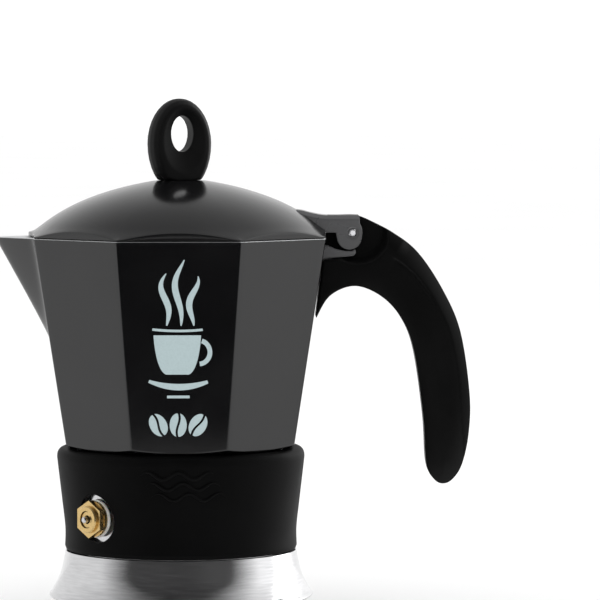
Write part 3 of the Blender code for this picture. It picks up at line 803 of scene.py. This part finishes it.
def handle_piece(looks):
    """The moulded handle: full in the middle, thinner at its edges, dished round the hinge, creased."""
    outline = handle_outline()
    handle = prism_piece("moulded_handle", outline, -HANDLE_HALF, HANDLE_HALF)
    hole = [(0, RIM - 30.0), (3.7, RIM - 30.0), (3.7, RIM - 16.6), (0, RIM - 16.6)]
    way = turned_piece("screw_way", hole, 48)
    way.location.x = SCREW_X * MM
    cut(handle, way)
    remeshed(handle, 0.32, 16)
    points = positions(handle) / MM
    x, y, z = points.T
    inward = edge_distance(x, z, outline)
    distance, side, along = near_crease(x, z)
    # The sides fall away towards the edges, and the handle thins towards its tip.
    lower = eased(RIM - z, 25.0, 60.0)
    outer = np.where(side > 0, 0.30, 0.16 + 0.20 * lower) * eased(x, 57.0, 75.0)
    half = HANDLE_HALF * (1.0 - outer * (1.0 - np.clip(inward / 7.5, 0, 1)) ** 2)
    half *= 1.0 - 0.14 * np.clip((RIM - 20.0 - z) / 70.0, 0, 1) ** 2
    # The crease is a low step that fades at both ends, with a fine groove along its upper part.
    fade = eased(1.0 - along, 0.0, 0.45) * eased(along, 0.0, 0.10)
    half -= fade * np.where(side > 0, 0.20 * np.clip(distance, 0, 7.0), 0.55 * np.exp(-distance / 3.0))
    groove = eased(0.62 - along, 0.0, 0.30) * eased(along, 0.0, 0.06) * np.exp(-((distance / 0.42) ** 2))
    half -= 0.55 * groove
    # The dish leaves room for the ears.
    dish = eased(np.hypot(x - 66.0, z - RIM - 2.0), 8.8, 12.8)
    half = np.minimum(half, 3.2 + 5.3 * dish)
    y = np.sign(y) * np.minimum(np.abs(y), half)
    set_positions(handle, np.stack([x, y, z], 1) * MM)
    softened(handle, 3)
    place(handle, "upper_pot", "phenolic", looks["phenolic"], "handle")


# ---------- boiler ----------


def band_radius(z):
    """The band's outer radius at a height."""
    radii, heights = zip(*BAND_SIDE)
    return float(np.interp(z, heights, radii))


def valve_rod(name, radius, segments):
    """A rod along the valve's axis, which points out at the front left."""
    ends = [(-reach * math.sqrt(0.5), -reach * math.sqrt(0.5), VALVE_Z) for reach in (30, 60)]
    return rod_piece(name, radius, *ends, segments)


def band_piece(looks):
    """The soft band with the window for the valve."""
    side = [(r, z, 0) for r, z in smooth_through(BAND_SIDE, 8)]
    lip = [(46.15, 62.3, 1.6), (45.0, 63.7, 1.2), (43.6, BAND_TOP, 0.5), (41.4, BAND_TOP, 0.2)]
    inner = [(41.2, 61.0, 0), (42.2, 60.8, 0), (43.7, 59.8, 0), (43.6, 56.0, 0), (42.35, 44.0, 0)]
    foot = [(41.55, 32.0, 0), (41.55, BAND_LOW, 0), (42.9, BAND_LOW, 0.3)]
    path = rounded_profile(side + lip + inner + foot, 4, closed=True)
    band = turned_piece("soft_band", path, 192, closed=True)
    cut(band, valve_rod("window", 9.0, 64))
    sharpened(band, 50)
    place(band, "boiler", "soft_touch", looks["band"], "grip_sleeve")


def boiler_piece(looks):
    """The steel boiler: a flared foot, a wall under the band, a shoulder and a neck."""
    flare = smooth_through([(43.2, 25.5), (45.0, 17.0), (47.9, 10.9), (49.2, 9.2)], 6)
    path = [(0, BOILER_LOW, 0), (48.7, BOILER_LOW, 0.3), (49.4, BOILER_LOW + 0.5, 0.3)]
    path += [(r, z, 0) for r, z in reversed(flare)]
    path += [(41.1, 25.5, 0.1), (41.2, 32.0, 0), (42.0, 44.0, 0), (43.2, 56.0, 0)]
    path += [(43.1, 59.9, 0.5), (41.8, 60.4, 0.4), (35.6, 60.4, 0.5)]
    path += [(35.6, NECK_TOP, 0.3), (33.0, NECK_TOP, 0.3), (33.0, 60.6, 1.0)]
    path += [(40.2, 58.0, 1.5), (41.2, 56.0, 0), (40.3, 44.0, 0), (39.5, 31.0, 0), (40.6, 20.0, 0)]
    path += [(43.8, 12.0, 2.0), (42.0, 9.9, 2.0), (0, 9.9, 0)]
    shell = turned_piece("boiler_steel", rounded_profile(path, 4), 192, crease=40)
    cut(shell, valve_rod("valve_hole", 5.0, 48))
    sharpened(shell, 40)
    place(shell, "boiler", "steel", looks["steel"], "boiler_shell")


def thread_pieces(looks):
    """The ridge on the boiler's neck, and the one in the skirt, half a pitch below it."""
    male = helix_piece("neck_thread", 35.2, 36.6, 2.25, THREAD_START, 0.0)
    place(male, "boiler", "steel", looks["steel"], "boiler_shell")
    female_start = THREAD_START + THREAD_PITCH * (1 / 3 - 0.5)
    female = helix_piece("skirt_thread", 37.3, 36.0, 1.75, female_start, math.tau / 3)
    place(female, "upper_pot", "black_gloss", looks["cast"], "collector")


def base_piece(looks):
    """The steel cup that stands on the hob."""
    path = [(0, 0, 0), (44.8, 0, 0.5), (46.9, 1.3, 1.4), (46.9, 7.6, 0.3)]
    path += [(44.5, 7.6, 0.1), (44.5, 1.9, 0.1), (0, 1.9, 0)]
    cup = turned_piece("base_cup", rounded_profile(path, 5), 192, crease=40)
    place(cup, "boiler", "steel", looks["steel"], "base_cap")


# ---------- the print on the front facet and the relief on the band ----------

# On the facet, x runs across it and heights count from the rim.
STEAM_LOW = -30.5
# Middle, top and phase of each.
STEAM_CURLS = ((-4.6, -11.5, 0.3), (0.2, -6.5, 1.2), (5.0, -12.5, 2.4))
# Centre and lean of each.
PRINTED_BEANS = ((-7.6, 0.5), (-0.4, 0.0), (6.8, -0.5))
PRINT_LIFT = 0.06
PRINT_SINK = 0.10
# Height, start, end and width of each.
WAVES = ((57.0, -14.0, 12.4, 1.6), (53.1, -12.4, 14.8, 1.4), (49.2, -10.2, 17.6, 1.2))
WAVE_LENGTH = 11.0
WAVE_BEND_R = 45.0
WAVE_POINTS = 13


def facet_point(x, z, lift):
    """A point on the front facet: x across it, z from the rim, lift off it."""
    y = -apothem_at(RIM + z)
    return (x, y - lift * math.cos(FACET_TILT), RIM + z - lift * math.sin(FACET_TILT))


def ribbon(left, right):
    """A thin solid on the facet between two lines of (x, z) points."""
    columns = []
    for (lx, lz), (rx, rz) in zip(left, right):
        over = [facet_point(lx, lz, PRINT_LIFT), facet_point(rx, rz, PRINT_LIFT)]
        under = [facet_point(rx, rz, -PRINT_SINK), facet_point(lx, lz, -PRINT_SINK)]
        columns.append(over + under)
    vertices, faces = woven(columns, closed_rows=True, closed_columns=False)
    last = len(vertices) - 4
    return vertices, faces + [(0, 1, 2, 3), (last, last + 1, last + 2, last + 3)]


def stroke(points, widths):
    """The two sides of a line whose width varies along it."""
    points = np.array(points, float)
    ahead = np.gradient(points, axis=0)
    normal = np.stack([-ahead[:, 1], ahead[:, 0]], 1)
    normal /= np.linalg.norm(normal, axis=1)[:, None]
    half = np.array(widths, float)[:, None] / 2
    return (points + normal * half).tolist(), (points - normal * half).tolist()


def print_shapes():
    """A cup on its saucer under three curls of steam, and three beans below."""
    shapes = []
    for middle, high, phase in STEAM_CURLS:
        line, widths = [], []
        for t in np.linspace(0, 1, 40):
            sway = 1.7 * math.sin(phase + 6.0 * t) * (0.35 + t)
            line.append((middle + sway, STEAM_LOW + (high - STEAM_LOW) * t))
            widths.append(0.4 + 1.9 * math.sin(math.pi * min(t * 1.02, 1.0)) ** 0.8)
        shapes.append(stroke(line, widths))
    sides = []
    for t in np.linspace(0, 1, 24):
        half = 8.6 * math.cos(t * 1.12) ** 0.75 * (1 - 0.12 * t)
        sides.append((half, -34.0 - 14.5 * math.sin(t * 1.45)))
    shapes.append(([(-x - 0.6, z) for x, z in sides], [(x - 0.6, z) for x, z in sides]))
    loop = []
    for t in np.linspace(-1.5, 1.30, 30):
        loop.append((7.2 + 4.0 * math.cos(t), -40.2 + 4.3 * math.sin(t)))
    shapes.append(stroke(loop, [1.7] * 30))
    brim = [(x, -32.4 + 0.006 * x * x) for x in np.linspace(-9.6, 8.6, 24)]
    shapes.append(stroke(brim, [0.9] * 24))
    saucer = [(x, -53.0 + 0.018 * x * x) for x in np.linspace(-11.0, 10.4, 30)]
    shapes.append(stroke(saucer, [0.5 + 1.9 * math.cos(x / 11.8 * 1.35) for x, _ in saucer]))
    foot = [(x, -56.6) for x in np.linspace(-4.4, 3.8, 10)]
    shapes.append(stroke(foot, [1.0] * 10))
    for centre, lean in PRINTED_BEANS:
        shapes += bean_halves(centre, -67.0, 3.1, 4.4, lean)
    return shapes


def bean_halves(cx, cz, half_width, half_height, lean):
    """A coffee bean as two halves parted by a curved slit."""
    halves = []
    for side in (-1, 1):
        left, right = [], []
        for t in np.linspace(-0.97, 0.97, 24):
            slit = 0.55 * math.sin(t * 2.6) + side * 0.42
            edge = side * half_width * math.sqrt(1 - t * t)
            if side * (edge - slit) < 0.05:
                edge = slit + side * 0.05
            for line, across in ((left, slit), (right, edge)):
                x = across * math.cos(lean) - t * half_height * math.sin(lean)
                z = across * math.sin(lean) + t * half_height * math.cos(lean)
                line.append((cx + x, cz + z))
        halves.append((left, right))
    return halves


def front_print(looks):
    """The print on the front facet, in one piece."""
    vertices, faces = [], []
    for left, right in print_shapes():
        more, their_faces = ribbon(left, right)
        base = len(vertices)
        vertices += more
        faces += [tuple(base + i for i in face) for face in their_faces]
    emblem = new_piece("cup_emblem", vertices, faces, merge=0)
    emblem.data.shade_flat()
    place(emblem, "upper_pot", "silicone", looks["ink"])


def band_relief(looks):
    """Three raised waves on the front of the band, each bent round it."""
    vertices, faces = [], []
    for middle, low, high, width in WAVES:
        line, widths = [], []
        for share in np.linspace(0, 1, 90):
            x = low + (high - low) * share
            line.append((x, middle + 1.3 * math.sin(math.tau * (x - low) / WAVE_LENGTH)))
            widths.append(0.15 + (width - 0.15) * min(1.0, 6.0 * share * (1 - share)))
        columns = []
        for (lx, lz), (rx, rz), wide in zip(*stroke(line, widths), widths):
            column = []
            for across in (0.0, *np.linspace(0, 1, WAVE_POINTS - 2), 1.0):
                x = lx + (rx - lx) * across
                z = lz + (rz - lz) * across
                height = 0.40 * wide * math.sqrt(max(0.0, 1 - (2 * across - 1) ** 2))
                if len(column) in (0, WAVE_POINTS - 1):
                    height = -0.4
                radius = band_radius(z) + height
                angle = x / WAVE_BEND_R
                column.append((radius * math.sin(angle), -radius * math.cos(angle), z))
            columns.append(column)
        more, their_faces = woven(columns, closed_rows=True, closed_columns=False)
        base = len(vertices)
        last = base + len(more) - WAVE_POINTS
        vertices += more
        faces += [tuple(base + i for i in face) for face in their_faces]
        faces += [tuple(range(base, base + WAVE_POINTS)), tuple(range(last, last + WAVE_POINTS))]
    relief = new_piece("wave_relief", vertices, faces)
    place(relief, "boiler", "soft_touch", looks["relief"])


# ---------- stage ----------


def make_floor():
    bpy.ops.mesh.primitive_grid_add(x_subdivisions=4, y_subdivisions=4, size=30.0, location=(0, 0, 0))
    floor = bpy.context.object
    floor.name = "floor"
    floor.data.materials.append(floor_look())


def area_light(name, location, aim, width, height, power):
    """A rectangular lamp that points at a place."""
    light = bpy.data.lights.new(name, "AREA")
    light.shape = "RECTANGLE"
    light.size = width
    light.size_y = height
    light.energy = power
    lamp = bpy.data.objects.new(name, light)
    lamp.location = location
    lamp.rotation_euler = (Vector(aim) - Vector(location)).to_track_quat("-Z", "Y").to_euler()
    bpy.context.scene.collection.objects.link(lamp)


def mapped(nodes, links, source, start, end, low, high):
    """A source mapped from start..end to low..high."""
    made = nodes.new("ShaderNodeMapRange")
    made.inputs["From Min"].default_value = start
    made.inputs["From Max"].default_value = end
    made.inputs["To Min"].default_value = low
    made.inputs["To Max"].default_value = high
    links.new(source, made.inputs["Value"])
    return made.outputs["Result"]


def product(nodes, links, first, second):
    made = nodes.new("ShaderNodeMath")
    made.operation = "MULTIPLY"
    links.new(first, made.inputs[0])
    links.new(second, made.inputs[1])
    return made.outputs["Value"]


def make_world():
    """An even white studio. Reflections see its front and ceiling darker and its right side brighter."""
    world = bpy.data.worlds.new("studio")
    bpy.context.scene.world = world
    world.use_nodes = True
    nodes, links = world.node_tree.nodes, world.node_tree.links
    white = nodes["Background"]
    white.inputs["Color"].default_value = (1.0, 1.0, 1.0, 1.0)
    white.inputs["Strength"].default_value = STUDIO_STRENGTH
    facing = nodes.new("ShaderNodeTexCoord")
    parts = nodes.new("ShaderNodeSeparateXYZ")
    links.new(facing.outputs["Generated"], parts.inputs["Vector"])
    front = mapped(nodes, links, parts.outputs["Y"], -0.60, -0.10, FRONT_SHADE, 1.2)
    ceiling = mapped(nodes, links, parts.outputs["Z"], 0.35, 0.85, 1.0, CEILING_SHADE)
    right = mapped(nodes, links, parts.outputs["X"], 0.05, 0.60, 1.0, RIGHT_GLOW)
    shade = product(nodes, links, product(nodes, links, front, ceiling), right)
    mirrored = nodes.new("ShaderNodeBackground")
    links.new(shade, mirrored.inputs["Strength"])
    rays = nodes.new("ShaderNodeLightPath")
    choice = nodes.new("ShaderNodeMixShader")
    links.new(rays.outputs["Is Glossy Ray"], choice.inputs["Fac"])
    links.new(white.outputs["Background"], choice.inputs[1])
    links.new(mirrored.outputs["Background"], choice.inputs[2])
    links.new(choice.outputs["Shader"], nodes["World Output"].inputs["Surface"])


def make_flag():
    """A black cloth on the floor before the pot, there only for reflections."""
    place_at = (-0.2, -0.905, 0.002)
    bpy.ops.mesh.primitive_grid_add(x_subdivisions=4, y_subdivisions=4, size=1.0, location=place_at)
    flag = bpy.context.object
    flag.name = "flag"
    flag.scale = (2.4, 1.43, 1.0)
    flag.data.materials.append(matte_black("flag_cloth", 0.004, 0.008, 0.9, 0.95, 60, 0.0001))
    flag.visible_camera = False
    flag.visible_diffuse = False
    flag.visible_shadow = False
    flag.visible_transmission = False


def make_camera():
    """A long lens that looks square at the front facet."""
    camera = bpy.data.cameras.new("camera")
    camera.lens = LENS
    camera.sensor_width = 36.0
    camera.clip_start = 0.05
    camera.clip_end = 60.0
    eye = bpy.data.objects.new("camera", camera)
    eye.location = Vector(EYE) * MM
    aim = Vector(AIM) * MM
    eye.rotation_euler = (aim - eye.location).to_track_quat("-Z", "Y").to_euler()
    bpy.context.scene.collection.objects.link(eye)
    bpy.context.scene.camera = eye


def main():
    looks = {
        "gloss": gloss_black(),
        "satin": matte_black("satin_grey_enamel", 0.058, 0.074, 0.24, 0.32, 1500, 0.00002, 1.0),
        # Near-black enamel for the hinge tongue: painted shade for the shadow between the ears.
        "shaded": matte_black("web_enamel_painted_shade", 0.0012, 0.0020, 0.40, 0.50, 1500, 0.00002, 0.08),
        "phenolic": matte_black("handle_phenolic", 0.0012, 0.0022, 0.42, 0.52, 3500, 0.00002, 0.15),
        "knob": matte_black("knob_phenolic", 0.0034, 0.0054, 0.45, 0.55, 3500, 0.00002, 0.15),
        "band": matte_black("soft_touch_band", 0.0014, 0.0024, 0.50, 0.60, 4000, 0.00002, 0.055),
        "relief": matte_black("relief_rubber", 0.0011, 0.0019, 0.42, 0.52, 4000, 0.00001, 0.08),
        "rivet": matte_black("peened_rivet", 0.70, 0.82, 0.35, 0.45, 1500, 0.00002),
        "steel": metal("polished_steel", (0.66, 0.66, 0.67), 0.12, 0.2, (1, 1, 14), 120),
        "cast": metal("cast_aluminium", (0.72, 0.73, 0.74), 0.34, 0.46, (1, 1, 1), 700, 0.00003),
        "sheet": metal("spun_aluminium", (0.75, 0.76, 0.77), 0.28, 0.38, (1, 1, 10), 160),
        "brass": metal("turned_brass", (0.70, 0.50, 0.22), 0.22, 0.34, (1, 1, 1), 500),
        "silicone": silicone(),
        "ink": print_ink(),
    }
    make_camera()
    make_world()
    make_floor()
    make_flag()
    collector_shell(looks)
    column_piece(looks)
    bracket_piece(looks)
    lid_shell(looks)
    arm_piece(looks)
    pin_piece(looks)
    knob_piece(looks)
    handle_piece(looks)
    band_piece(looks)
    boiler_piece(looks)
    thread_pieces(looks)
    base_piece(looks)
    front_print(looks)
    band_relief(looks)
    kept = {
        "sheet": ("heat_spreader", "funnel", "basket_sieve", "filter_plate"),
        "steel": ("handle_screw", "knob_screw", "valve_spring", "valve_piston"),
        "brass": ("valve_body", "valve_nut", "valve_cap"),
        "silicone": ("valve_seal", "gasket"),
    }
    for look, names in kept.items():
        for node in names:
            dress(node, looks[look])
    area_light("right_softbox", (1.5, 0.9, 0.6), (0.05, 0, 0.12), 1.0, 1.2, 9)
    bpy.context.scene.view_settings.view_transform = "Standard"


main()
